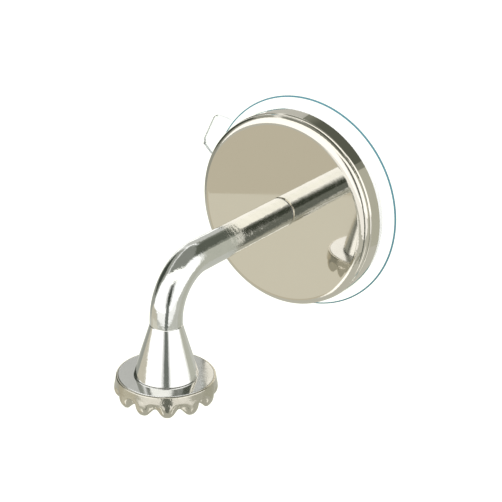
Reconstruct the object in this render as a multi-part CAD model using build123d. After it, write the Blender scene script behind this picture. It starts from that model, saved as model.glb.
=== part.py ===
from build123d import *
import math
import os

# Wall-mounted magnetic soap holder. Millimetres.
# The origin is the centre of the suction pad's wall face: the wall is the plane y = 0,
# the arm stands out towards -Y and the soap hangs towards -Z.
# "depth" is the distance from the wall, so a point at depth d has y = -d.

# ---- suction pad ----
pad_lip = 3.1
pad_edge_thickness = 1.0
pad_edge_rounding = 0.4
pad_web_thickness = 2.4
pad_web_margin = 0.3
boss_side_wall = 2.7
boss_wall = 1.2
pad_skin = 0.6
tab_angle = 155.0
tab_length = 6.2
tab_root_half_width = 8.4
tab_tip_half_width = 6.1
tab_thickness = 0.8
tab_corner_rounding = 1.2
tab_root_sink = 2.5

# ---- stud and its anchor ----
stud_radius = 3.0
stud_head_radius = 5.5
stud_head_thickness = 1.0
stud_engagement = 8.0
stud_end_chamfer = 0.5
anchor_radius = 12.0
anchor_thickness = 1.2
anchor_holes = 6
anchor_hole_radius = 1.5
anchor_hole_circle = 9.0
pocket_margin = 0.3
thread_pitch = 1.0
tightening_turns = 2.0

# ---- pressure cup ----
cup_floor_thickness = 1.6
cup_floor_lift = 0.4
cup_wall = 2.6
cup_seat_lap = 0.2
cup_ribs = 12
cup_rib_thickness = 1.2
cup_rib_height = 2.4

# ---- base ring ----
ring_back_radius = 33.1
ring_flare = 0.5
ring_back_depth = 5.2
ring_head_room = 1.8
ring_flange_width = 5.6
ring_shoulder_rounding = 0.9
sheet = 0.6

# ---- thrust washer and tension nut ----
washer_radius = 9.0
washer_thickness = 0.5
nut_across_flats = 12.0

# ---- cover ----
cover_step = 0.2
cover_height = 2.2
cover_roll_width = 3.1
cover_side_height = 0.5
cover_seam = 0.3
hub_radial_gap = 0.4
hub_floor_gap = 0.4

# ---- arm ----
arm_radius = 5.0
arm_reach = 72.7
arm_bend_radius = 15.5
arm_foot_length = 1.5
arm_end_chamfer = 0.4
arm_tapping_depth = 11.0
gasket_thickness = 0.3
gasket_margin = 0.3

# ---- bell ----
bell_length = 16.8
bell_wall = 0.9
bell_web = 4.0
bell_mouth_rounding = 0.3
bell_seam_chamfer = 0.15

# ---- bell screw and spring washer ----
screw_radius = 2.0
screw_head_radius = 3.5
screw_head_height = 2.4
screw_head_rounding = 0.6
screw_length = 12.0
screw_socket_across_flats = 2.5
screw_socket_depth = 1.4
spring_washer_thickness = 0.8
spring_washer_radius = 3.4
spring_washer_split = 0.6

# ---- magnet ----
pot_radius = 7.2
pot_height = 4.8
pot_wall = 1.0
pot_rounding = 0.5
magnet_radius = 5.6
magnet_height = 3.6
magnet_chamfer = 0.25
holder_web = 1.6
holder_wall = 0.4
holder_recess = 0.2
magnet_recess = 0.05

# ---- cap ----
plate_radius = 14.6
plate_thickness = 1.5
plate_gap = 0.05
plate_edge_rounding = 0.2
crown_rim_width = 0.7
crown_belly_swell = 0.3
crown_tip_curl = 0.7
crown_height = 7.2
crown_belly_height = 4.4
crown_wall = 1.0
crown_rim_drop = 0.15
crown_rim_rounding = 0.5
ledge_width = 1.2
ledge_thickness = 0.9
petals = 12
petal_phase = 10.0
petal_gap_radius = 3.0
petal_gap_rise = 2.1
petal_gap_length = 10.4
flute_radius = 1.0
flute_depth = 0.55
flute_start = 2.0
flute_lean = 7.0

# ---- fits ----
thread_clearance = 0.05
hole_clearance = 0.4
screw_hole_clearance = 0.1
press_clearance = 0.02
running_clearance = 0.08
face_gap = 0.05
cut_margin = 1.0

# ---- depths and heights that follow from the sizes above ----
pull_travel = thread_pitch * tightening_turns
ring_front_radius = ring_back_radius - ring_flare
ring_flange_radius = ring_front_radius - ring_flange_width
cover_radius = ring_front_radius - cover_step
cover_flat_radius = cover_radius - cover_roll_width
pad_web_radius = ring_back_radius - pad_web_margin
pad_radius = ring_back_radius + pad_lip
tab_reach = pad_radius + tab_length
head_back_depth = pad_skin + 2 * face_gap
anchor_back_depth = head_back_depth + stud_head_thickness
anchor_front_depth = anchor_back_depth + anchor_thickness
pocket_front_depth = anchor_front_depth + pull_travel + 2 * face_gap
pocket_radius = anchor_radius + pocket_margin
boss_radius = pocket_radius + boss_side_wall
boss_front_depth = pocket_front_depth + boss_wall
floor_back_depth = boss_front_depth + cup_floor_lift
floor_front_depth = floor_back_depth + cup_floor_thickness
ring_front_depth = floor_front_depth + ring_head_room
seat_depth = ring_front_depth - sheet
washer_front_depth = floor_front_depth + washer_thickness
nut_back_depth = washer_front_depth + face_gap
cover_back_depth = ring_front_depth + cover_seam
cover_depth = cover_back_depth + cover_height
nut_front_depth = cover_depth - sheet - press_clearance
stud_hole_radius = stud_radius + hole_clearance
arm_end_depth = cover_depth + gasket_thickness
stud_front_depth = arm_end_depth + stud_engagement
arm_drop = arm_bend_radius + arm_foot_length
bell_mouth_z = -(arm_drop + bell_length)
bell_web_z = -(arm_drop + bell_web)
magnet_face_z = bell_mouth_z + magnet_recess
pot_top_z = magnet_face_z + pot_height
pot_radius_in_holder = pot_radius + press_clearance
bell_radius_at_pot = pot_radius_in_holder + holder_wall + 2 * press_clearance + bell_wall
bell_slope = (bell_radius_at_pot - arm_radius) / (-arm_drop - pot_top_z)
bell_mouth_radius = arm_radius + bell_slope * bell_length
crown_rim_radius = plate_radius + crown_rim_width
crown_belly_radius = crown_rim_radius + crown_belly_swell
crown_tip_radius = crown_belly_radius - crown_tip_curl
plate_top_z = bell_mouth_z - plate_gap
plate_back_z = plate_top_z - plate_thickness
crown_top_z = plate_top_z - crown_rim_drop
crown_tip_z = crown_top_z - crown_height
crown_belly_z = crown_top_z - crown_belly_height
ledge_back_z = plate_back_z - ledge_thickness


def closed_profile(points, rounds=()):
    """A flat face through points; rounds holds (corner, radius) pairs."""
    face = make_face(Polyline(*points, close=True))
    for corner, radius in rounds:
        nearest = face.vertices().sort_by_distance(corner)[0]
        face = fillet(nearest, radius)
    return face


def turned_on_wall_axis(points, rounds=()):
    """A solid of revolution about Y from (radius, depth) points."""
    flat = [(radius, -depth) for radius, depth in points]
    corners = [((corner[0], -corner[1], 0), radius) for corner, radius in rounds]
    return revolve(closed_profile(flat, corners), Axis.Y)


def turned_on_drop_axis(points, rounds=()):
    """A solid of revolution about the drop's axis from (radius, z) points."""
    corners = [((corner[0], corner[1], 0), radius) for corner, radius in rounds]
    face = Plane.XZ * closed_profile(points, corners)
    return Pos(0, -arm_reach, 0) * revolve(face, Axis.Z)


def wall_axis_cylinder(radius, back_depth, front_depth, x=0.0, z=0.0):
    """A cylinder along Y between two depths."""
    length = front_depth - back_depth
    middle = -(back_depth + front_depth) / 2
    return Pos(x, middle, z) * (Rot(90, 0, 0) * Cylinder(radius, length))


def suction_pad():
    outline = [
        (0, 0),
        (pad_radius, 0),
        (pad_radius, pad_edge_thickness),
        (pad_web_radius, pad_web_thickness),
        (boss_radius, pad_web_thickness),
        (boss_radius, boss_front_depth),
        (0, boss_front_depth),
    ]
    rounds = [
        ((pad_radius, pad_edge_thickness), pad_edge_rounding),
        ((boss_radius, boss_front_depth), pad_edge_rounding),
    ]
    pad = turned_on_wall_axis(outline, rounds) + pull_tab()
    pad -= wall_axis_cylinder(pocket_radius, pad_skin, pocket_front_depth)
    pad -= wall_axis_cylinder(stud_hole_radius, pad_skin, boss_front_depth + cut_margin)
    return pad


def pull_tab():
    root = pad_radius - tab_root_sink
    outline = [
        (root, -tab_root_half_width),
        (tab_reach, -tab_tip_half_width),
        (tab_reach, tab_tip_half_width),
        (root, tab_root_half_width),
    ]
    rounds = [
        ((tab_reach, -tab_tip_half_width, 0), tab_corner_rounding),
        ((tab_reach, tab_tip_half_width, 0), tab_corner_rounding),
    ]
    flat = Rot(0, 0, tab_angle) * closed_profile(outline, rounds)
    return extrude(Plane.XZ * flat, tab_thickness)


def anchor_plate():
    plate = wall_axis_cylinder(anchor_radius, anchor_back_depth, anchor_front_depth)
    plate -= wall_axis_cylinder(
        stud_radius + press_clearance, anchor_back_depth - cut_margin, anchor_front_depth + cut_margin
    )
    for k in range(anchor_holes):
        angle = math.radians(k * 360 / anchor_holes)
        plate -= wall_axis_cylinder(
            anchor_hole_radius,
            anchor_back_depth - cut_margin,
            anchor_front_depth + cut_margin,
            anchor_hole_circle * math.cos(angle),
            anchor_hole_circle * math.sin(angle),
        )
    return plate


def pull_stud():
    return turned_on_wall_axis(
        [
            (0, head_back_depth),
            (stud_head_radius, head_back_depth),
            (stud_head_radius, anchor_back_depth),
            (stud_radius, anchor_back_depth),
            (stud_radius, stud_front_depth - stud_end_chamfer),
            (stud_radius - stud_end_chamfer, stud_front_depth),
            (0, stud_front_depth),
        ]
    )


def ring_radius_at(depth):
    """Outer radius of the base ring's flared side."""
    share = (depth - ring_back_depth) / (ring_front_depth - ring_back_depth)
    return ring_back_radius + share * (ring_front_radius - ring_back_radius)


def pressure_cup():
    fit = sheet + press_clearance
    foot_radius = ring_back_radius - fit
    wall_inside = foot_radius - cup_wall
    seat_inside = ring_flange_radius + cup_seat_lap
    cup = turned_on_wall_axis(
        [
            (stud_hole_radius, floor_back_depth),
            (wall_inside, floor_back_depth),
            (wall_inside, pad_web_thickness),
            (foot_radius, pad_web_thickness),
            (foot_radius, ring_back_depth),
            (ring_radius_at(seat_depth) - fit, seat_depth),
            (seat_inside, seat_depth),
            (seat_inside, floor_front_depth),
            (stud_hole_radius, floor_front_depth),
        ]
    )
    rib_start = boss_radius + cup_rib_thickness
    rib_length = wall_inside - rib_start + press_clearance
    rib = Box(rib_length, cup_rib_height, cup_rib_thickness)
    for k in range(cup_ribs):
        place = Pos(rib_start + rib_length / 2, cup_rib_height / 2 - floor_back_depth, 0)
        cup += Rot(0, k * 360 / cup_ribs, 0) * (place * rib)
    return cup


def base_ring():
    return turned_on_wall_axis(
        [
            (ring_back_radius - sheet, ring_back_depth),
            (ring_back_radius, ring_back_depth),
            (ring_front_radius, ring_front_depth),
            (ring_flange_radius, ring_front_depth),
            (ring_flange_radius, seat_depth),
            (ring_radius_at(seat_depth) - sheet, seat_depth),
        ],
        [((ring_front_radius, ring_front_depth), ring_shoulder_rounding)],
    )


def thrust_washer():
    washer = wall_axis_cylinder(washer_radius, floor_front_depth, washer_front_depth)
    return washer - wall_axis_cylinder(
        stud_hole_radius, floor_front_depth - cut_margin, washer_front_depth + cut_margin
    )


def tension_nut():
    hexagon = Plane.XZ * RegularPolygon(nut_across_flats / 2, 6, major_radius=False)
    nut = Pos(0, -nut_back_depth, 0) * extrude(hexagon, nut_front_depth - nut_back_depth)
    return nut - wall_axis_cylinder(
        stud_radius + thread_clearance, nut_back_depth - cut_margin, nut_front_depth + cut_margin
    )


def cover_pan(inset):
    """The cover's outside shape with its rolled edge, moved inwards by inset and filled."""
    top = cover_depth - inset
    shoulder = cover_back_depth + cover_side_height
    rolled_width = cover_radius - cover_flat_radius - inset
    rolled_height = top - shoulder
    side = cover_flat_radius + rolled_width
    centre = (cover_flat_radius, -shoulder)
    rolled_edge = EllipticalCenterArc(centre, rolled_width, rolled_height, 270, arc_size=90)
    rest = Polyline(
        (cover_flat_radius, -top),
        (0, -top),
        (0, -cover_back_depth),
        (side, -cover_back_depth),
        (side, -shoulder),
    )
    return revolve(make_face([rolled_edge, rest]), Axis.Y)


def cover_disc():
    disc = cover_pan(0) - cover_pan(sheet)
    return disc - wall_axis_cylinder(
        stud_hole_radius, cover_depth - sheet - cut_margin, cover_depth + cut_margin
    )


def cover_core():
    core = cover_pan(sheet + press_clearance)
    hub_back = floor_front_depth + hub_floor_gap
    core += wall_axis_cylinder(ring_flange_radius - hub_radial_gap, hub_back, cover_back_depth)
    recess_front = washer_front_depth + hub_floor_gap
    core -= wall_axis_cylinder(washer_radius + hub_radial_gap, hub_back - cut_margin, recess_front)
    pocket = Plane.XZ * RegularPolygon(nut_across_flats / 2 + press_clearance, 6, major_radius=False)
    core -= Pos(0, -hub_back + cut_margin, 0) * extrude(pocket, cover_depth)
    return core


def arm_gasket():
    washer = wall_axis_cylinder(arm_radius - gasket_margin, cover_depth, arm_end_depth)
    return washer - wall_axis_cylinder(
        stud_hole_radius, cover_depth - cut_margin, arm_end_depth + cut_margin
    )


def arm_bar():
    start = (0, -arm_end_depth, 0)
    bend_start = (0, -(arm_reach - arm_bend_radius), 0)
    bend_end = (0, -arm_reach, -arm_bend_radius)
    foot = (0, -arm_reach, -arm_drop)
    run = Line(start, bend_start)
    middle = arm_bend_radius * (1 - math.sqrt(0.5))
    bend = ThreePointArc(bend_start, (0, -(arm_reach - middle), -middle), bend_end)
    path = Wire([run, bend, Line(bend_end, foot)])
    section = Plane(origin=start, x_dir=(1, 0, 0), z_dir=(0, -1, 0)) * Circle(arm_radius)
    bar = sweep(section, path)
    end_edges = bar.edges().filter_by(GeomType.CIRCLE)
    disc_end = end_edges.sort_by(Axis.Y)[-1]
    bell_end = end_edges.sort_by(Axis.Z)[0]
    bar = chamfer(disc_end, arm_end_chamfer)
    bar = chamfer(bar.edges().filter_by(GeomType.CIRCLE).sort_by(Axis.Z)[0], bell_seam_chamfer)
    bar -= wall_axis_cylinder(
        stud_radius + thread_clearance, arm_end_depth - cut_margin, arm_end_depth + arm_tapping_depth
    )
    tapping = screw_length - bell_web - spring_washer_thickness + cut_margin
    hole = Cylinder(screw_radius + press_clearance, tapping + cut_margin)
    bar -= Pos(0, -arm_reach, -arm_drop + (tapping - cut_margin) / 2) * hole
    return bar


def bell_radius_at(z):
    """Outer radius of the bell's straight flank."""
    return arm_radius + bell_slope * (-arm_drop - z)


def bell():
    cavity_top = bell_radius_at(bell_web_z) - bell_wall
    return turned_on_drop_axis(
        [
            (screw_radius + screw_hole_clearance, -arm_drop),
            (arm_radius - bell_seam_chamfer, -arm_drop),
            (arm_radius, -arm_drop - bell_seam_chamfer),
            (bell_mouth_radius, bell_mouth_z),
            (bell_mouth_radius - bell_wall, bell_mouth_z),
            (cavity_top, bell_web_z),
            (screw_radius + screw_hole_clearance, bell_web_z),
        ],
        [((bell_mouth_radius, bell_mouth_z), bell_mouth_rounding)],
    )


def spring_washer():
    back = bell_web_z - spring_washer_thickness
    ring = turned_on_drop_axis(
        [
            (screw_radius + screw_hole_clearance, back),
            (spring_washer_radius, back),
            (spring_washer_radius, bell_web_z),
            (screw_radius + screw_hole_clearance, bell_web_z),
        ]
    )
    split = Box(spring_washer_radius, spring_washer_split, 2 * spring_washer_thickness)
    split_centre = (spring_washer_radius + screw_radius) / 2
    return ring - Pos(split_centre, -arm_reach, back) * split


def bell_screw():
    head_top = bell_web_z - spring_washer_thickness
    head_back = head_top - screw_head_height
    screw = turned_on_drop_axis(
        [
            (0, head_back),
            (screw_head_radius, head_back),
            (screw_head_radius, head_top),
            (screw_radius, head_top),
            (screw_radius, head_top + screw_length),
            (0, head_top + screw_length),
        ],
        [((screw_head_radius, head_back), screw_head_rounding)],
    )
    socket = RegularPolygon(screw_socket_across_flats / 2, 6, major_radius=False)
    return screw - Pos(0, -arm_reach, head_back) * extrude(socket, screw_socket_depth)


def magnet_holder():
    inside = bell_wall + 2 * press_clearance
    top = pot_top_z + holder_web
    bottom = magnet_face_z + holder_recess
    return turned_on_drop_axis(
        [
            (0, pot_top_z),
            (pot_radius_in_holder, pot_top_z),
            (pot_radius_in_holder, bottom),
            (bell_radius_at(bottom) - inside, bottom),
            (bell_radius_at(top) - inside, top),
            (0, top),
        ]
    )


def magnet_pot():
    return turned_on_drop_axis(
        [
            (0, pot_top_z),
            (pot_radius, pot_top_z),
            (pot_radius, magnet_face_z),
            (pot_radius - pot_wall, magnet_face_z),
            (pot_radius - pot_wall, magnet_face_z + magnet_height),
            (0, magnet_face_z + magnet_height),
        ],
        [((pot_radius, pot_top_z), pot_rounding)],
    )


def magnet():
    top = magnet_face_z + magnet_height - press_clearance
    return turned_on_drop_axis(
        [
            (0, magnet_face_z),
            (magnet_radius - magnet_chamfer, magnet_face_z),
            (magnet_radius, magnet_face_z + magnet_chamfer),
            (magnet_radius, top),
            (0, top),
        ]
    )


def cap_plate():
    return turned_on_drop_axis(
        [
            (0, plate_back_z),
            (plate_radius, plate_back_z),
            (plate_radius, plate_top_z),
            (0, plate_top_z),
        ],
        [((plate_radius, plate_top_z), plate_edge_rounding)],
    )


def cap_crown():
    bore = plate_radius + running_clearance
    crown = turned_on_drop_axis(
        [
            (bore, crown_top_z),
            (crown_rim_radius, crown_top_z),
            (crown_belly_radius, crown_belly_z),
            (crown_tip_radius, crown_tip_z),
            (crown_tip_radius - crown_wall, crown_tip_z),
            (crown_belly_radius - crown_wall, crown_belly_z),
            (crown_belly_radius - crown_wall, ledge_back_z),
            (bore - ledge_width, ledge_back_z),
            (bore - ledge_width, plate_back_z - face_gap),
            (bore, plate_back_z - face_gap),
        ],
        [((crown_rim_radius, crown_top_z), crown_rim_rounding)],
    )
    centre = Pos(0, -arm_reach, 0)
    gap_z = crown_tip_z + petal_gap_rise - petal_gap_radius
    gap = Pos(crown_belly_radius, 0, gap_z) * (Rot(0, 90, 0) * Cylinder(petal_gap_radius, petal_gap_length))
    flute_length = crown_height - flute_start + cut_margin
    flute_place = Pos(crown_belly_radius + flute_radius - flute_depth, 0, crown_top_z - flute_start)
    rod = Pos(0, 0, -flute_length / 2) * Cylinder(flute_radius, flute_length)
    flute = flute_place * (Rot(0, flute_lean, 0) * rod)
    for k in range(petals):
        turn = Rot(0, 0, petal_phase + (k + 0.5) * 360 / petals)
        crown -= centre * (turn * gap)
        crown -= centre * (turn * flute)
    return crown


nodes = {
    "suction_pad": suction_pad,
    "anchor_plate": anchor_plate,
    "pull_stud": pull_stud,
    "pressure_cup": pressure_cup,
    "base_ring": base_ring,
    "thrust_washer": thrust_washer,
    "tension_nut": tension_nut,
    "cover_core": cover_core,
    "cover_disc": cover_disc,
    "arm_gasket": arm_gasket,
    "arm_bar": arm_bar,
    "bell": bell,
    "spring_washer": spring_washer,
    "bell_screw": bell_screw,
    "magnet_holder": magnet_holder,
    "magnet_pot": magnet_pot,
    "magnet": magnet,
    "cap_plate": cap_plate,
    "cap_crown": cap_crown,
}

os.makedirs("parts", exist_ok=True)
for name, make in nodes.items():
    export_step(make(), os.path.join("parts", name + ".step"))
    print(name)
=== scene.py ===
import math
import bmesh
import bpy
from mathutils import Matrix, Vector


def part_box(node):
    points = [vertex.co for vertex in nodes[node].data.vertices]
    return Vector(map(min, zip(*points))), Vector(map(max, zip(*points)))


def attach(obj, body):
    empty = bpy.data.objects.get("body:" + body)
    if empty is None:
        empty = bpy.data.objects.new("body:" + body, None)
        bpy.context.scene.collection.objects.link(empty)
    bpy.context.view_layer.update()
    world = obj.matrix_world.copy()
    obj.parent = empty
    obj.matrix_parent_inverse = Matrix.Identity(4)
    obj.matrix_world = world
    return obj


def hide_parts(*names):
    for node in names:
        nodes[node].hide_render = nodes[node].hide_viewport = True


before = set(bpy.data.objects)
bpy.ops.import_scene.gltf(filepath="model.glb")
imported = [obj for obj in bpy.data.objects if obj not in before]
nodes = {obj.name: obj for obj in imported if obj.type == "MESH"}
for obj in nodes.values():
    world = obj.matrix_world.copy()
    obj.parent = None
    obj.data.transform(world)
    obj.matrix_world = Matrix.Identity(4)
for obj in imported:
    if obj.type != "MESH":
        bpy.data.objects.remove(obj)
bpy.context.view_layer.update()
mm = 0.001

capLow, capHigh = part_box("cap_crown")
dropAxis = Vector(((capLow.x + capHigh.x) / 2, (capLow.y + capHigh.y) / 2, 0))
crownTop = capHigh.z
towardsRoom = Matrix.Rotation(math.radians(90), 4, "X")  # local +Z becomes -Y, away from the wall


# turns a finished bmesh into an object at the origin
def finishMesh(name, bm, smoothAngle=35):
    bmesh.ops.recalc_face_normals(bm, faces=bm.faces)
    mesh = bpy.data.meshes.new(name)
    bm.to_mesh(mesh)
    bm.free()
    piece = bpy.data.objects.new(name, mesh)
    bpy.context.scene.collection.objects.link(piece)
    mesh.shade_smooth()
    mesh.set_sharp_from_angle(angle=math.radians(smoothAngle))
    return piece


# 0 below low, 1 above high and an even S curve between them
def smoothStep(low, high, value):
    share = min(max((value - low) / (high - low), 0.0), 1.0)
    return share * share * (3 - 2 * share)


def extrudedVerts(grown):
    return [v for v in grown if isinstance(v, bmesh.types.BMVert)]


def extrudedFaces(grown):
    return [f for f in grown if isinstance(f, bmesh.types.BMFace)]


# extrudes the end face of a turned solid to the next radius and height
def stepFace(bm, face, radius, height, nowRadius, nowHeight):
    grown = bmesh.ops.extrude_face_region(bm, geom=[face])["geom"]
    verts = extrudedVerts(grown)
    if face.is_valid:
        bmesh.ops.delete(bm, geom=[face], context="FACES_ONLY")
    bmesh.ops.scale(bm, verts=verts, vec=(radius / nowRadius, radius / nowRadius, 1))
    bmesh.ops.translate(bm, verts=verts, vec=(0, 0, height - nowHeight))
    return extrudedFaces(grown)[0]


# suction pad: clear soft disc with a pocket for the anchor plate and a pull tab
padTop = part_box("suction_pad")[1].z
pad = {
    "segments": 144,
    "radius": padTop,
    "lip": 0.45 * mm,
    "lipRound": 0.12 * mm,
    "lipBand": 0.5 * mm,
    "slopeRadius": padTop - 3.4 * mm,
    "slopeWidth": 1.2 * mm,
    "slopeHeight": 2.35 * mm,
    "slopeKnee": 0.62,  # share of the slope's height at its outer end
    "bossRadius": 14.9 * mm,
    "bossHeight": 6.0 * mm,
    "bossRound": 0.35 * mm,
    "pocketRadius": 12.3 * mm,
    "pocketFloor": 0.6 * mm,
    "pocketRoof": 5.0 * mm,
    "studHole": 3.4 * mm,
    "landWidth": 2.2 * mm,
    "dish": 0.25 * mm,
    "dishRamp": 1.2 * mm,
    "dishFloor": 8 * mm,
    "dishFloorDrop": 0.3,  # share of the dish's depth
    "tabThick": 1.4 * mm,
    "tabAngle": 155,
    "tabRoot": 8.4 * mm,
    "tabTip": 6.1 * mm,
    "tabReach": 42.3 * mm,
    "tabCorner": 1.2 * mm,
    "tabSteps": (0.35, 0.7, 0.9, 1.0),  # shares of the tab's length
    "sideLean": 0.1,  # a face of the lip's side leans less than this
    "sideFrom": 0.9,  # share of the lip's rounding above which its side starts
    # faces this far past the pad's radius get the tab's painted grey edge shade
    "tabPaintedEdgeFrom": 0.3 * mm,  # beyond the pad's radius
    # the lip band reaches this far out for the painted teal refraction band
    "lipPaintedRefractionPast": 0.05 * mm,  # beyond the pad's radius
    "clearSkin": 0.1 * mm,  # faces nearer the wall than this stay clear
    "paintedEdgeLean": 0.85,  # a side face painted with the grey edge shade leans less than this
}


# the pad's turned shape, from its wall face up the lip, slope and boss and down into the pocket
def turnPad(bm, p):
    footRadius = p["radius"] - p["lipRound"]
    bmesh.ops.create_circle(bm, cap_ends=True, segments=p["segments"], radius=footRadius)
    bm.faces.ensure_lookup_table()
    bottom = bm.faces[0]
    top = bmesh.ops.extrude_face_region(bm, geom=[bottom], use_keep_orig=True)["geom"]
    verts = extrudedVerts(top)
    face = extrudedFaces(top)[0]
    grow = p["radius"] / footRadius
    bmesh.ops.scale(bm, verts=verts, vec=(grow, grow, 1))
    bmesh.ops.translate(bm, verts=verts, vec=(0, 0, p["lipRound"]))
    at = (p["radius"], p["lipRound"])
    steps = [
        (p["radius"], p["lip"] - p["lipRound"]),
        (footRadius, p["lip"]),
        (p["radius"] - p["lipBand"], p["lip"] + p["lipRound"] / 2),
        (p["slopeRadius"] + p["slopeWidth"], p["slopeHeight"] * p["slopeKnee"]),
        (p["slopeRadius"], p["slopeHeight"]),
        (p["bossRadius"] + p["bossRound"], p["slopeHeight"]),
        (p["bossRadius"], p["slopeHeight"] + p["bossRound"]),
        (p["bossRadius"], p["bossHeight"] - p["bossRound"]),
        (p["bossRadius"] - p["bossRound"], p["bossHeight"]),
        (p["studHole"], p["bossHeight"]),
        (p["studHole"], p["pocketRoof"]),
        (p["pocketRadius"], p["pocketRoof"]),
        (p["pocketRadius"], p["pocketFloor"]),
    ]
    for radius, height in steps:
        face = stepFace(bm, face, radius, height, *at)
        at = (radius, height)


# suction side: a shallow dish with a soft sealing land at its edge
def dishPad(bm, p):
    bottom = min(bm.faces, key=lambda f: (f.calc_center_median().z, -f.calc_area()))
    insets = (
        (p["landWidth"], 0.0),
        (p["dishRamp"], p["dish"]),
        (p["dishFloor"], p["dish"] * p["dishFloorDrop"]),
    )
    for thickness, drop in insets:
        bmesh.ops.inset_individual(bm, faces=[bottom], thickness=thickness, depth=-drop)


# the lip's side faces within the tab's root
def tabSide(bm, p):
    half = math.asin(p["tabRoot"] / p["radius"])
    middle = math.radians(p["tabAngle"])
    side = []
    for f in bm.faces:
        centre = f.calc_center_median()
        turn = (math.atan2(centre.y, centre.x) - middle + math.pi) % (2 * math.pi) - math.pi
        upright = abs(f.normal.z) < p["sideLean"] and p["lipRound"] * p["sideFrom"] < centre.z < p["lip"]
        outside = math.hypot(centre.x, centre.y) > p["radius"] - p["lipRound"]
        if upright and outside and abs(turn) < half:
            side.append(f)
    return side


# pull tab: the side faces are drawn out in steps and squared off
def drawTab(bm, p):
    middle = math.radians(p["tabAngle"])
    outwards = Vector((math.cos(middle), math.sin(middle), 0))
    across = Vector((-math.sin(middle), math.cos(middle), 0))
    side = tabSide(bm, p)
    for share in p["tabSteps"]:
        grown = bmesh.ops.extrude_face_region(bm, geom=side)["geom"]
        bmesh.ops.delete(bm, geom=[f for f in side if f.is_valid], context="FACES")
        side = extrudedFaces(grown)
        for v in extrudedVerts(grown):
            sideways = v.co.dot(across)
            reach = math.sqrt(max(p["radius"] ** 2 - min(abs(sideways), p["tabRoot"]) ** 2, 0))
            target = reach + (p["tabReach"] - reach) * share
            width = p["tabRoot"] + (p["tabTip"] - p["tabRoot"]) * share
            narrowed = sideways * width / max(width, abs(sideways)) if share < 1 else sideways
            rounded = p["tabCorner"] * smoothStep(width - p["tabCorner"], width, abs(narrowed)) ** 2
            v.co += outwards * (target - rounded * (share == 1.0) - v.co.dot(outwards))
            v.co += across * (narrowed - sideways)
            if share == p["tabSteps"][0]:
                v.co.z = p["tabThick"] if v.co.z > p["lip"] / 2 else 0


padMesh = bmesh.new()
turnPad(padMesh, pad)
dishPad(padMesh, pad)
drawTab(padMesh, pad)
bmesh.ops.transform(padMesh, matrix=towardsRoom, verts=padMesh.verts)
suctionPad = finishMesh("clear_suction_pad", padMesh, 50)
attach(suctionPad, "wall_base")
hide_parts("suction_pad")
print("suction pad made")


# toothed crown: pressed sheet ring with twelve petals that curl in at their tips
crown = {
    "segments": 288,
    "petals": 12,
    "phase": 10,
    "topRadius": 15.3 * mm,
    "boreRadius": 14.68 * mm,
    "rimRound": 0.45 * mm,
    "rimSteps": 6,
    "bellyRadius": 15.6 * mm,
    "wall": 0.9 * mm,
    "ledgeRadius": 13.5 * mm,
    "ledgeTop": 1.42 * mm,
    "ledgeBottom": 2.2 * mm,
    "height": 7.15 * mm,
    "edgeRound": 0.35,  # share of the wall
    "bellyDepth": 3.0 * mm,
    "fluteStart": 2.25 * mm,
    "fluteDepth": 1.5 * mm,
    "fluteSharpness": 2.2,
    "fluteFull": 0.6,  # share of the petal's length at which its flute has its full depth
    "notchRise": 2.25 * mm,
    "tipRoundness": 1.25,
    "bulge": 0.3 * mm,
    "curl": 0.95 * mm,
    "curlPower": 4,
    "curlEase": 0.6,  # how much less the wall curls between two petals
    "levels": 20,
}


# plain outer radius of the crown's wall, before its petals are pressed
def wallRadius(c, depth):
    return c["topRadius"] + (c["bellyRadius"] - c["topRadius"]) * smoothStep(0, c["bellyDepth"], depth)


# radius and depth of each ring: over the rim, down the outside, round the edge, up the inside, over the ledge
def crownProfile(c):
    steps = []
    for k in range(c["rimSteps"] + 1):
        turn = math.radians(90 * k / c["rimSteps"])
        radius = c["topRadius"] - c["rimRound"] * (1 - math.sin(turn))
        steps.append((radius, c["rimRound"] * (1 - math.cos(turn))))
    for k in range(1, c["levels"] + 1):
        depth = c["rimRound"] + (c["height"] - c["rimRound"]) * k / c["levels"]
        steps.append((wallRadius(c, depth), depth))
    edgeDrop = c["wall"] * c["edgeRound"]
    steps.append((wallRadius(c, c["height"]) - c["wall"] / 2, c["height"] + edgeDrop))
    for k in range(c["levels"] + 1):
        depth = c["height"] - (c["height"] - c["ledgeBottom"]) * k / c["levels"]
        steps.append((wallRadius(c, depth) - c["wall"], depth))
    steps.append((c["ledgeRadius"], c["ledgeBottom"]))
    steps.append((c["ledgeRadius"], c["ledgeTop"]))
    steps.append((c["boreRadius"], c["ledgeTop"]))
    return steps


# the crown's turned shape: a bore circle drawn round the profile and closed on itself
def turnCrown(bm, c):
    bore = bmesh.ops.create_circle(bm, cap_ends=False, segments=c["segments"], radius=c["boreRadius"])
    edges = list({e for v in bore["verts"] for e in v.link_edges})
    at = (c["boreRadius"], 0)
    for radius, depth in crownProfile(c):
        grown = bmesh.ops.extrude_edge_only(bm, edges=edges)["geom"]
        verts = extrudedVerts(grown)
        edges = [e for e in grown if isinstance(e, bmesh.types.BMEdge)]
        bmesh.ops.scale(bm, verts=verts, vec=(radius / at[0], radius / at[0], 1))
        bmesh.ops.translate(bm, verts=verts, vec=(0, 0, at[1] - depth))
        at = (radius, depth)
    bmesh.ops.bridge_loops(bm, edges=[e for e in bm.edges if e.is_boundary])


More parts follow.
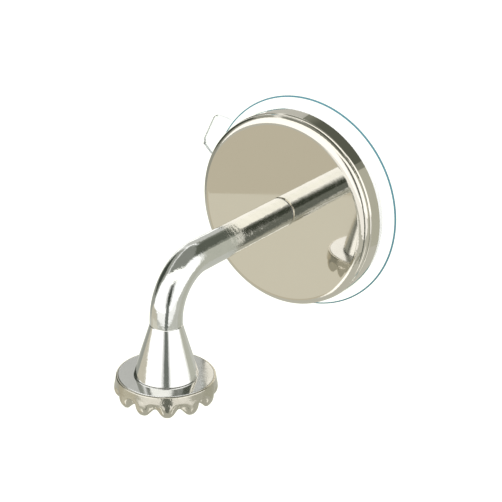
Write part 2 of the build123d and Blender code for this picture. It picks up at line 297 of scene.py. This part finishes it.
# presses flutes into the wall, lifts the edge between petals and curls the petals' tips inwards
def pressPetals(bm, c):
    for v in bm.verts:
        depth = -v.co.z
        if depth < c["fluteStart"]:
            continue
        radius = Vector((v.co.x, v.co.y)).length
        angle = math.atan2(v.co.y, v.co.x) - math.radians(c["phase"])
        between = 0.5 - 0.5 * math.cos(c["petals"] * angle)  # 0 on a petal's middle, 1 between two petals
        share = (depth - c["fluteStart"]) / (c["height"] - c["fluteStart"])
        press = smoothStep(0, c["fluteFull"], share)
        out = c["bulge"] * (1 - between) * math.sin(math.pi * min(share, 1))
        out -= c["fluteDepth"] * between ** c["fluteSharpness"] * press
        out -= c["curl"] * (1 - between * c["curlEase"]) * share ** c["curlPower"]
        v.co.x *= (radius + out) / radius
        v.co.y *= (radius + out) / radius
        v.co.z += share * c["notchRise"] * between ** c["tipRoundness"]


crownMesh = bmesh.new()
turnCrown(crownMesh, crown)
pressPetals(crownMesh, crown)
bmesh.ops.translate(crownMesh, verts=crownMesh.verts, vec=dropAxis + Vector((0, 0, crownTop)))
crownRing = finishMesh("toothed_crown", crownMesh, 40)
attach(crownRing, "cap")
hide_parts("cap_crown")
print("crown made")


# an empty shader node group with its named inputs and outputs
def newGroup(name, inputs, outputs):
    group = bpy.data.node_groups.new(name, "ShaderNodeTree")
    for label, kind, value in inputs:
        socket = group.interface.new_socket(label, in_out="INPUT", socket_type=kind)
        if value is not None:
            socket.default_value = value
    for label, kind in outputs:
        group.interface.new_socket(label, in_out="OUTPUT", socket_type=kind)
    return group, group.nodes.new("NodeGroupInput"), group.nodes.new("NodeGroupOutput")


haze = {
    "patchDetail": 4,
    "grainDetail": 2,
    "grainShare": 0.25,  # how strongly the grain adds to the patches
    "roughFrom": 0.45,  # noise value that keeps the low roughness
    "roughTo": 0.8,  # noise value that has the high roughness
}


# fine polishing haze: mottled tone, roughness patches and a faint uneven surface
def polishWear(h):
    group, given, out = newGroup(
        "polishWear",
        [
            ("Vector", "NodeSocketVector", None),
            ("Tone", "NodeSocketColor", (0.8, 0.8, 0.8, 1)),
            ("Shade", "NodeSocketColor", (0.7, 0.7, 0.7, 1)),
            ("Patch Scale", "NodeSocketFloat", 60.0),
            ("Grain Scale", "NodeSocketFloat", 1500.0),
            ("Low Roughness", "NodeSocketFloat", 0.04),
            ("High Roughness", "NodeSocketFloat", 0.12),
        ],
        [("Color", "NodeSocketColor"), ("Roughness", "NodeSocketFloat"), ("Height", "NodeSocketFloat")],
    )
    add, link = group.nodes.new, group.links.new
    patches = add("ShaderNodeTexNoise")
    patches.inputs["Detail"].default_value = h["patchDetail"]
    grain = add("ShaderNodeTexNoise")
    grain.inputs["Detail"].default_value = h["grainDetail"]
    tone = add("ShaderNodeMix")
    tone.data_type = "RGBA"
    rough = add("ShaderNodeMapRange")
    both = add("ShaderNodeMath")
    both.operation = "MULTIPLY_ADD"
    both.inputs[1].default_value = h["grainShare"]
    link(given.outputs["Vector"], patches.inputs["Vector"])
    link(given.outputs["Patch Scale"], patches.inputs["Scale"])
    link(given.outputs["Vector"], grain.inputs["Vector"])
    link(given.outputs["Grain Scale"], grain.inputs["Scale"])
    link(patches.outputs["Fac"], tone.inputs["Factor"])
    link(given.outputs["Tone"], tone.inputs[6])
    link(given.outputs["Shade"], tone.inputs[7])
    link(grain.outputs["Fac"], both.inputs[0])
    link(patches.outputs["Fac"], both.inputs[2])
    rough.inputs["From Min"].default_value = h["roughFrom"]
    rough.inputs["From Max"].default_value = h["roughTo"]
    link(both.outputs[0], rough.inputs["Value"])
    link(given.outputs["Low Roughness"], rough.inputs["To Min"])
    link(given.outputs["High Roughness"], rough.inputs["To Max"])
    link(tone.outputs[2], out.inputs["Color"])
    link(rough.outputs["Result"], out.inputs["Roughness"])
    link(both.outputs[0], out.inputs["Height"])
    return group


wear = polishWear(haze)


def metalMaterial(name, m):
    material = bpy.data.materials.new(name)
    material.use_nodes = True
    tree = material.node_tree
    shader = tree.nodes["Principled BSDF"]
    shader.inputs["Metallic"].default_value = m.get("metallic", 1.0)
    shader.inputs["IOR"].default_value = 1.5
    place = tree.nodes.new("ShaderNodeTexCoord")
    effect = tree.nodes.new("ShaderNodeGroup")
    effect.node_tree = wear
    effect.inputs["Tone"].default_value = (*m["tone"], 1)
    effect.inputs["Shade"].default_value = (*m["shade"], 1)
    effect.inputs["Patch Scale"].default_value = m["patch"]
    effect.inputs["Grain Scale"].default_value = m["grain"]
    effect.inputs["Low Roughness"].default_value = m["rough"][0]
    effect.inputs["High Roughness"].default_value = m["rough"][1]
    bump = tree.nodes.new("ShaderNodeBump")
    bump.inputs["Strength"].default_value = m["bump"]
    bump.inputs["Distance"].default_value = m["bumpDepth"]
    tree.links.new(place.outputs["Object"], effect.inputs["Vector"])
    tree.links.new(effect.outputs["Color"], shader.inputs["Base Color"])
    tree.links.new(effect.outputs["Roughness"], shader.inputs["Roughness"])
    tree.links.new(effect.outputs["Height"], bump.inputs["Height"])
    tree.links.new(bump.outputs["Normal"], shader.inputs["Normal"])
    return material


# tone and shade are mottled together, patch and grain are noise scales, rough runs from smooth to hazy
looks = {
    "polishedChrome": {
        "tone": (0.88, 0.88, 0.86), "shade": (0.74, 0.75, 0.73), "patch": 260, "grain": 1800,
        "rough": (0.03, 0.13), "bump": 0.22, "bumpDepth": 0.0004,
    },
    "bellChrome": {
        "tone": (0.88, 0.88, 0.86), "shade": (0.82, 0.82, 0.80), "patch": 200, "grain": 1800,
        "rough": (0.04, 0.12), "bump": 0.07, "bumpDepth": 0.0003,
    },
    "warmNickel": {
        "tone": (0.80, 0.765, 0.69), "shade": (0.77, 0.735, 0.66), "patch": 45, "grain": 900,
        "rough": (0.015, 0.05), "bump": 0.0, "bumpDepth": 0.0001,
    },
    "crownChrome": {
        "tone": (0.74, 0.71, 0.63), "shade": (0.56, 0.53, 0.45), "patch": 180, "grain": 1500,
        "rough": (0.07, 0.2), "bump": 0.3, "bumpDepth": 0.0005,
    },
    "plateSteel": {
        "tone": (0.80, 0.80, 0.79), "shade": (0.70, 0.70, 0.69), "patch": 150, "grain": 2500,
        "rough": (0.06, 0.14), "bump": 0.05, "bumpDepth": 0.0002,
    },
    "zincSteel": {
        "tone": (0.60, 0.61, 0.64), "shade": (0.48, 0.49, 0.50), "patch": 160, "grain": 2200,
        "rough": (0.25, 0.4), "bump": 0.1, "bumpDepth": 0.0003,
    },
    "plainBrass": {
        "tone": (0.74, 0.56, 0.26), "shade": (0.62, 0.45, 0.2), "patch": 160, "grain": 2200,
        "rough": (0.2, 0.35), "bump": 0.1, "bumpDepth": 0.0003,
    },
    "nickelMagnet": {
        "tone": (0.62, 0.60, 0.56), "shade": (0.54, 0.52, 0.48), "patch": 200, "grain": 2200,
        "rough": (0.15, 0.3), "bump": 0.08, "bumpDepth": 0.0002,
    },
    "whitePlastic": {
        "tone": (0.86, 0.86, 0.85), "shade": (0.82, 0.82, 0.81), "patch": 90, "grain": 3000,
        "rough": (0.3, 0.45), "bump": 0.12, "bumpDepth": 0.0002, "metallic": 0.0,
    },
    "greyPlastic": {
        "tone": (0.2, 0.2, 0.21), "shade": (0.15, 0.15, 0.16), "patch": 90, "grain": 3000,
        "rough": (0.4, 0.6), "bump": 0.15, "bumpDepth": 0.0002, "metallic": 0.0,
    },
}
materials = {name: metalMaterial(name, values) for name, values in looks.items()}


# clear soft plastic whose tone blends to an edge colour towards its rim; on the pad this paints the light
# refracted at its edge as a blue-green tint, and on the tab's sides a grey edge shade
def clearMaterial(name, c):
    material = bpy.data.materials.new(name)
    material.use_nodes = True
    tree = material.node_tree
    add, link = tree.nodes.new, tree.links.new
    shader = tree.nodes["Principled BSDF"]
    shader.inputs["Transmission Weight"].default_value = c["clear"]
    shader.inputs["IOR"].default_value = c["ior"]
    place = add("ShaderNodeTexCoord")
    parts = add("ShaderNodeSeparateXYZ")
    flat = add("ShaderNodeCombineXYZ")
    radius = add("ShaderNodeVectorMath")
    radius.operation = "LENGTH"
    edge = add("ShaderNodeMapRange")
    edge.inputs["From Min"].default_value = c["edgeFrom"]
    edge.inputs["From Max"].default_value = c["edgeTo"]
    tone = add("ShaderNodeMix")
    tone.data_type = "RGBA"
    tone.inputs[6].default_value = (*c["tone"], 1)
    tone.inputs[7].default_value = (*c["edge"], 1)
    grain = add("ShaderNodeTexNoise")
    grain.inputs["Scale"].default_value = c["grain"]
    rough = add("ShaderNodeMapRange")
    rough.inputs["To Min"].default_value = c["rough"][0]
    rough.inputs["To Max"].default_value = c["rough"][1]
    bump = add("ShaderNodeBump")
    bump.inputs["Strength"].default_value = c["bump"]
    bump.inputs["Distance"].default_value = c["bumpDepth"]
    link(place.outputs["Object"], parts.inputs[0])
    link(parts.outputs["X"], flat.inputs["X"])
    link(parts.outputs["Z"], flat.inputs["Z"])
    link(flat.outputs[0], radius.inputs[0])
    link(radius.outputs["Value"], edge.inputs["Value"])
    link(edge.outputs["Result"], tone.inputs["Factor"])
    link(tone.outputs[2], shader.inputs["Base Color"])
    link(place.outputs["Object"], grain.inputs["Vector"])
    link(grain.outputs["Fac"], rough.inputs["Value"])
    link(rough.outputs["Result"], shader.inputs["Roughness"])
    link(grain.outputs["Fac"], bump.inputs["Height"])
    link(bump.outputs["Normal"], shader.inputs["Normal"])
    return material


# the tone runs from tone to edge between two distances from the pad's axis, in metres
clearLooks = {
    # the pad's faint cyan towards its rim is a painted tint for light refracted at its edge
    "clearPvc": {
        "tone": (0.985, 0.995, 0.995), "edge": (0.95, 0.985, 0.985), "edgeFrom": 0.030, "edgeTo": 0.036,
        "ior": 1.12, "clear": 1.0, "grain": 300, "rough": (0.0, 0.02), "bump": 0.02, "bumpDepth": 0.0001,
    },
    # painted refraction: a dark, nearly opaque teal for the pad's lip, standing in for light refracted at its
    # edge
    "pvcLipPaintedRefraction": {
        "tone": (0.04, 0.14, 0.19), "edge": (0.08, 0.24, 0.31), "edgeFrom": 0.030, "edgeTo": 0.036,
        "ior": 1.3, "clear": 0.1, "grain": 300, "rough": (0.3, 0.5), "bump": 0.02, "bumpDepth": 0.0001,
    },
    # painted edge shade: an opaque grey for the clear tab's side faces, standing in for their shaded edge
    # line
    "pvcTabPaintedEdgeShade": {
        "tone": (0.66, 0.68, 0.68), "edge": (0.72, 0.73, 0.72), "edgeFrom": 0.038, "edgeTo": 0.043,
        "ior": 1.3, "clear": 0.0, "grain": 300, "rough": (0.3, 0.5), "bump": 0.02, "bumpDepth": 0.0001,
    },
    "clearWasher": {
        "tone": (0.75, 0.78, 0.78), "edge": (0.6, 0.64, 0.64), "edgeFrom": 0.0040, "edgeTo": 0.0050,
        "ior": 1.42, "clear": 0.8, "grain": 600, "rough": (0.1, 0.2), "bump": 0.05, "bumpDepth": 0.0002,
    },
}
for name, values in clearLooks.items():
    materials[name] = clearMaterial(name, values)

finishes = {
    "anchor_plate": "zincSteel",
    "pull_stud": "zincSteel",
    "pressure_cup": "whitePlastic",
    "base_ring": "warmNickel",
    "thrust_washer": "zincSteel",
    "tension_nut": "plainBrass",
    "cover_core": "whitePlastic",
    "cover_disc": "warmNickel",
    "arm_gasket": "clearWasher",
    "arm_bar": "polishedChrome",
    "bell": "bellChrome",
    "spring_washer": "zincSteel",
    "bell_screw": "zincSteel",
    "magnet_holder": "greyPlastic",
    "magnet_pot": "zincSteel",
    "magnet": "nickelMagnet",
    "cap_plate": "plateSteel",
}
for node, finish in finishes.items():
    mesh = nodes[node].data
    mesh.materials.clear()
    mesh.materials.append(materials[finish])


# the lip's outer band gets a painted blue-green band standing in for light refracted at the edge, and the
# tab's sides a painted faint grey edge shade
def paintPadEdgeLightAndShade(mesh, p):
    for finish in ("clearPvc", "pvcLipPaintedRefraction", "pvcTabPaintedEdgeShade"):
        mesh.materials.append(materials[finish])
    for f in mesh.polygons:
        distance = math.hypot(f.center.x, f.center.z)
        onPaintedRefractionBand = p["radius"] - p["lipBand"] < distance < p["radius"] + p["lipPaintedRefractionPast"]
        if distance > p["radius"] + p["tabPaintedEdgeFrom"] and abs(f.normal.y) < p["paintedEdgeLean"]:
            f.material_index = 2
        elif onPaintedRefractionBand and abs(f.center.y) > p["clearSkin"]:
            f.material_index = 1


paintPadEdgeLightAndShade(suctionPad.data, pad)
crownRing.data.materials.append(materials["crownChrome"])
print("materials made")


# a direction from the object: azimuth 0 is straight out into the room, 90 is to the right
def compass(azimuth, elevation):
    turn, lift = math.radians(azimuth), math.radians(elevation)
    return Vector((math.sin(turn) * math.cos(lift), -math.cos(turn) * math.cos(lift), math.sin(lift)))


# angles in degrees, lens and sensor in millimetres, the rest in metres
view = {
    "azimuth": 34.73,
    "elevation": 23.6,
    "roll": 1.57,
    "distance": 0.4481,
    "lens": 101.41,
    "sensor": 36,
    "nearest": 0.01,
    "target": (0, -0.040, -0.015),
    "right": 0.00648,
    "up": 0.00969,
}
roll = math.radians(view["roll"])
back = compass(view["azimuth"], view["elevation"])
right = Vector((0, 0, 1)).cross(back).normalized()
up = back.cross(right)
rolledRight = math.cos(roll) * right + math.sin(roll) * up
rolledUp = -math.sin(roll) * right + math.cos(roll) * up
place = Vector(view["target"]) + back * view["distance"] + rolledRight * view["right"] + rolledUp * view["up"]
cameraData = bpy.data.cameras.new("camera")
cameraData.lens = view["lens"]
cameraData.sensor_width = view["sensor"]
cameraData.clip_start = view["nearest"]
camera = bpy.data.objects.new("camera", cameraData)
camera.matrix_world = Matrix.Translation(place) @ Matrix((rolledRight, rolledUp, back)).transposed().to_4x4()
bpy.context.scene.collection.objects.link(camera)
bpy.context.scene.camera = camera
print("camera placed")


# only gives off its own even light, so a card shows one known tone
def glowSurface(name, color):
    material = bpy.data.materials.new(name)
    material.use_nodes = True
    shader = material.node_tree.nodes["Principled BSDF"]
    shader.inputs["Base Color"].default_value = (0, 0, 0, 1)
    shader.inputs["Specular IOR Level"].default_value = 0.0
    shader.inputs["Roughness"].default_value = 1.0
    shader.inputs["Emission Color"].default_value = (*color, 1)
    shader.inputs["Emission Strength"].default_value = 1.0
    return material


# fades a card out towards its four sides
def softEdges(material, softness):
    tree = material.node_tree
    add, link = tree.nodes.new, tree.links.new
    place = add("ShaderNodeTexCoord")
    parts = add("ShaderNodeSeparateXYZ")
    link(place.outputs["Generated"], parts.inputs[0])
    fades = []
    for axis in ("X", "Y"):
        fold = add("ShaderNodeMath")
        fold.operation = "PINGPONG"
        fold.inputs[1].default_value = 0.5
        fade = add("ShaderNodeMapRange")
        fade.interpolation_type = "SMOOTHSTEP"
        fade.inputs["From Max"].default_value = softness
        link(parts.outputs[axis], fold.inputs[0])
        link(fold.outputs[0], fade.inputs["Value"])
        fades.append(fade)
    both = add("ShaderNodeMath")
    both.operation = "MULTIPLY"
    link(fades[0].outputs["Result"], both.inputs[0])
    link(fades[1].outputs["Result"], both.inputs[1])
    link(both.outputs[0], tree.nodes["Principled BSDF"].inputs["Alpha"])


# a flat card or floor that belongs to the stage, not to the object
def addCard(name, matrix, size, material):
    bm = bmesh.new()
    bmesh.ops.create_grid(bm, x_segments=1, y_segments=1, size=0.5)
    bmesh.ops.scale(bm, verts=bm.verts, vec=(size[0], size[1], 1))
    bmesh.ops.transform(bm, matrix=matrix, verts=bm.verts)
    mesh = bpy.data.meshes.new(name)
    bm.to_mesh(mesh)
    bm.free()
    piece = bpy.data.objects.new(name, mesh)
    bpy.context.scene.collection.objects.link(piece)
    mesh.materials.append(material)
    return piece


studio = {
    "wholeCentre": Vector((0, -0.045, -0.015)),
    "discCentre": Vector((0, -0.0125, 0)),
    "floorHeight": -0.5,
    "floorSize": 8.0,
    "floorTone": (0.58, 0.585, 0.53),
    "floorSeen": 2.2,  # how much brighter the floor is where it is seen directly
    "worldTone": (1.0, 1.0, 0.99),
    "worldStrength": 1.42,
}


# a card seen only in reflections, facing its centre, wide and high in degrees
def cardAt(name, azimuth, elevation, distance, wide, high, color, soft, centre):
    direction = compass(azimuth, elevation)
    side = Vector((0, 0, 1)).cross(direction).normalized()
    turn = Matrix((side, direction.cross(side), direction)).transposed().to_4x4()
    size = [2 * distance * math.tan(math.radians(angle / 2)) for angle in (wide, high)]
    material = glowSurface(name, color)
    softEdges(material, soft)
    piece = addCard(name, Matrix.Translation(centre + direction * distance) @ turn, size, material)
    piece.visible_camera = False
    piece.visible_shadow = False
    piece.visible_diffuse = False
    piece.visible_transmission = False


# pale floor that is lit to clean white where it is seen directly
def floorSurface(s):
    material = glowSurface("floor", s["floorTone"])
    tree = material.node_tree
    shader = tree.nodes["Principled BSDF"]
    path = tree.nodes.new("ShaderNodeLightPath")
    direct = tree.nodes.new("ShaderNodeMath")
    direct.operation = "MAXIMUM"
    level = tree.nodes.new("ShaderNodeMapRange")
    level.inputs["To Min"].default_value = 1.0
    level.inputs["To Max"].default_value = s["floorSeen"]
    tree.links.new(path.outputs["Is Camera Ray"], direct.inputs[0])
    tree.links.new(path.outputs["Is Transmission Ray"], direct.inputs[1])
    tree.links.new(direct.outputs[0], level.inputs["Value"])
    tree.links.new(level.outputs["Result"], shader.inputs["Emission Strength"])
    return material


floorPlace = Matrix.Translation((0, 0, studio["floorHeight"]))
addCard("floor", floorPlace, (studio["floorSize"], studio["floorSize"]), floorSurface(studio))

world = bpy.data.worlds.new("studio")
world.use_nodes = True
sky = world.node_tree.nodes["Background"]
sky.inputs["Color"].default_value = (*studio["worldTone"], 1)
sky.inputs["Strength"].default_value = studio["worldStrength"]
bpy.context.scene.world = world

whole, disc = studio["wholeCentre"], studio["discCentre"]
# azimuth, elevation, distance, width and height in degrees, tone, edge softness, what it faces
cards = {
    "discCard": (-45, -32, 0.26, 46, 48, (0.61, 0.575, 0.47), 0.12, disc),
    "discCardLow": (-36, -32.5, 0.25, 34, 25, (0.73, 0.71, 0.61), 0.1, disc),
    "ceilingCard": (0, 89.9, 0.8, 84, 84, (0.27, 0.28, 0.25), 0.16, whole),
    "ceilingFrontCard": (20, 54, 0.7, 124, 28, (1.4, 1.4, 1.34), 0.3, whole),
    "backCard": (176, 32, 0.9, 92, 34, (0.24, 0.25, 0.21), 0.25, whole),
    "backLeftCard": (-140, 24, 0.95, 42, 32, (0.60, 0.605, 0.57), 0.3, whole),
    "darkBackCard": (160, 48, 0.75, 62, 30, (0.115, 0.125, 0.10), 0.22, whole),
    "greyLeftCard": (-90, 14, 0.9, 66, 80, (0.36, 0.37, 0.33), 0.16, whole),
    "darkLeftCard": (-92, 14, 0.8, 44, 36, (0.06, 0.07, 0.055), 0.2, whole),
    "rightBackCard": (146, -6, 0.88, 54, 84, (0.52, 0.525, 0.45), 0.3, whole),
    "frontWhiteCard": (35, -17, 1.1, 120, 22, (1.12, 1.12, 1.1), 0.1, whole),
    "frontLowCard": (12, -42, 0.8, 40, 18, (0.36, 0.365, 0.31), 0.3, whole),
    "glintLeftCard": (-14, -44, 0.5, 12, 34, (1.5, 1.5, 1.45), 0.3, whole),
    "glintRightCard": (86, -44, 0.5, 12, 34, (1.5, 1.5, 1.45), 0.3, whole),
    "stripCard": (38, -14, 0.6, 19, 58, (0.17, 0.185, 0.165), 0.2, whole),
    "stripHighCard": (36, 21, 0.63, 50, 40, (0.05, 0.06, 0.045), 0.45, whole),
}
for name, values in cards.items():
    cardAt(name, *values)
print("studio lit")

bpy.context.scene.view_settings.view_transform = "Standard"
bpy.context.scene.view_settings.look = "None"
